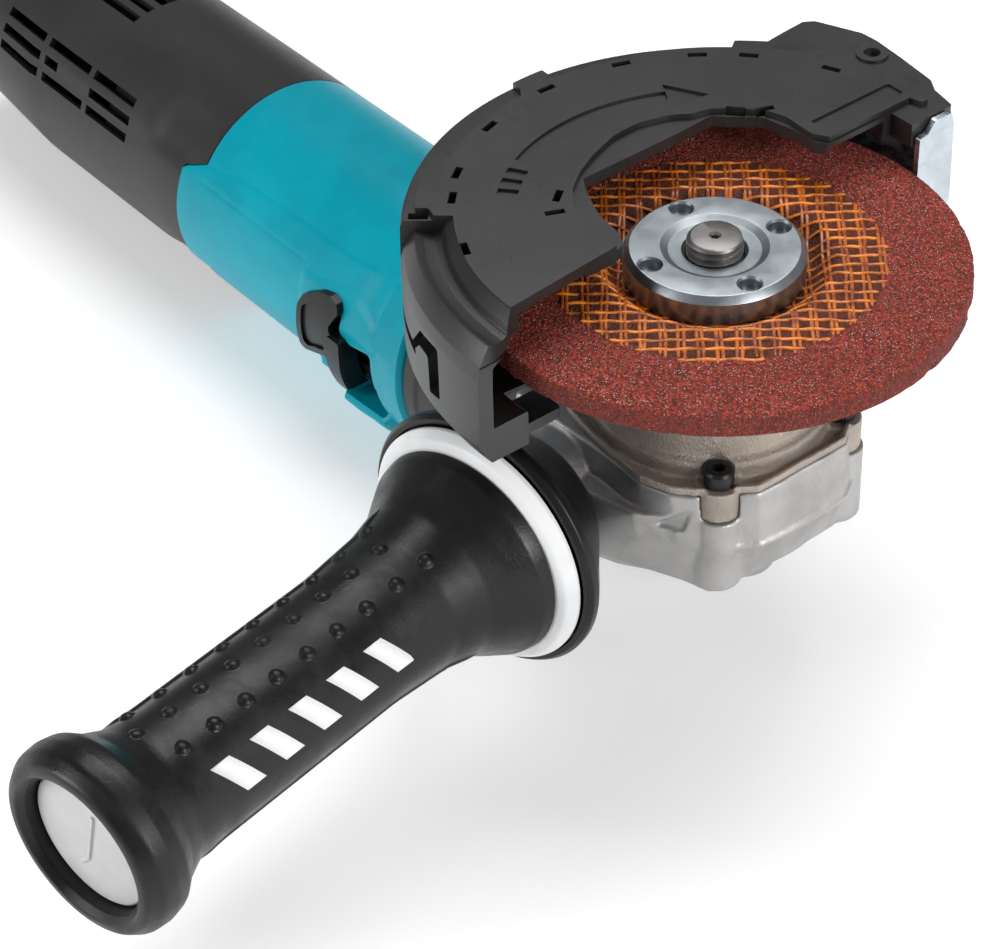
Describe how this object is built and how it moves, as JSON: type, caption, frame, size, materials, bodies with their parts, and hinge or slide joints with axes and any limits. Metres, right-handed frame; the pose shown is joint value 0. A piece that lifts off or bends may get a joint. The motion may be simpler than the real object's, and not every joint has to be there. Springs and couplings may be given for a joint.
{
  "type": "angle_grinder",
  "caption": "Corded angle grinder with a side handle, an adjustable wheel guard with a clip-on cutting cover, a slide switch and a spindle lock, lying with its wheel up.",
  "frame": {"origin": "centre of the free end face of the spindle, which stands 6.4 mm proud of the wheel", "axes": "+Z points out of the wheel along the spindle, +X from the tail to the head along the motor, and -Y to the side handle"},
  "size_m": [0.3995, 0.2853, 0.1222],
  "materials": {
    "teal_plastic": "fine texture",
    "dark_plastic": "fine texture",
    "black_plastic": "fine texture",
    "black_rubber": "matt",
    "white_plastic": "satin",
    "grey_plastic": "matt",
    "cast_aluminium": "bead blasted",
    "nickel_casting": "nickel plated casting",
    "zinc_steel": "bright zinc",
    "bright_steel": "ground",
    "black_steel": "black oxide",
    "abrasive": "coarse grit with fibre mesh",
    "copper_wire": "enamelled",
    "brass": "plain",
    "carbon": "pressed carbon",
    "laminations": "stacked sheet"
  },
  "bodies": {
    "tool_body": {"bearing_box": "nickel_casting", "bearing_box_screw_1": "black_steel", "bearing_box_screw_2": "black_steel", "bearing_box_screw_3": "black_steel", "bearing_box_screw_4": "black_steel", "guard_seat_ring": "black_steel", "gear_housing": "cast_aluminium", "housing_screw_1": "black_steel", "housing_screw_2": "black_steel", "housing_screw_3": "black_steel", "housing_screw_4": "black_steel", "spindle_ball_bearing": "bright_steel", "spindle_end_bush": "brass", "shaft_lock_spring": "bright_steel", "motor_housing": "teal_plastic", "rear_cover": "dark_plastic", "fan_baffle": "dark_plastic", "cord_gland": "black_rubber", "rear_cover_screw": "black_steel", "switch_body": "black_plastic", "front_ball_bearing": "bright_steel", "rear_ball_bearing": "bright_steel", "stator_core": "laminations", "field_coil_1": "copper_wire", "brush_holder_1": "brass", "carbon_brush_1": "carbon", "field_coil_2": "copper_wire", "brush_holder_2": "brass", "carbon_brush_2": "carbon", "handle_stud": "bright_steel", "handle_base": "black_plastic", "handle_damper": "black_rubber", "handle_ring": "white_plastic", "handle_core": "black_plastic", "handle_grip": "black_rubber", "handle_cap": "grey_plastic"},
    "spindle_body": {"spindle": "bright_steel", "inner_flange": "bright_steel", "grinding_wheel": "abrasive", "lock_nut": "zinc_steel", "bevel_gear": "bright_steel"},
    "armature_body": {"armature_shaft": "bright_steel", "bevel_pinion": "bright_steel", "rotor_core": "laminations", "rotor_winding_front": "copper_wire", "rotor_winding_rear": "copper_wire", "commutator": "copper_wire", "cooling_fan": "black_plastic"},
    "guard_body": {"wheel_guard": "zinc_steel", "guard_cover": "dark_plastic", "guard_clamp_band": "zinc_steel", "guard_clamp_screw": "bright_steel"},
    "switch_slider": {"switch_knob": "black_plastic", "switch_rod": "black_plastic"},
    "shaft_lock": {"shaft_lock_button": "black_plastic"}
  },
  "joints": [
    {"name": "spindle_spin", "type": "hinge", "parent": "tool_body", "child": "spindle_body", "pos_m": [0, 0, -0.0801], "axis": [0, 0, 1], "continuous": true},
    {"name": "armature_spin", "type": "hinge", "parent": "tool_body", "child": "armature_body", "pos_m": [-0.1, 0, -0.0801], "axis": [1, 0, 0], "continuous": true},
    {"name": "guard_turn", "type": "hinge", "parent": "tool_body", "child": "guard_body", "pos_m": [0, 0, -0.0304], "axis": [0, 0, 1], "range_deg": [-90, 90]},
    {"name": "switch_slide", "type": "slide", "parent": "tool_body", "child": "switch_slider", "axis": [1, 0, 0], "range_m": [0, 0.01]},
    {"name": "shaft_lock_press", "type": "slide", "parent": "tool_body", "child": "shaft_lock", "axis": [0, 0, 1], "range_m": [0, 0.003], "stiffness_N_per_m": 1200, "springref_m": -0.001, "deforming": ["shaft_lock_spring"]}
  ],
  "couplings": [
    {"joint": "armature_spin", "follows": "spindle_spin", "ratio": 3.4545}
  ]
}
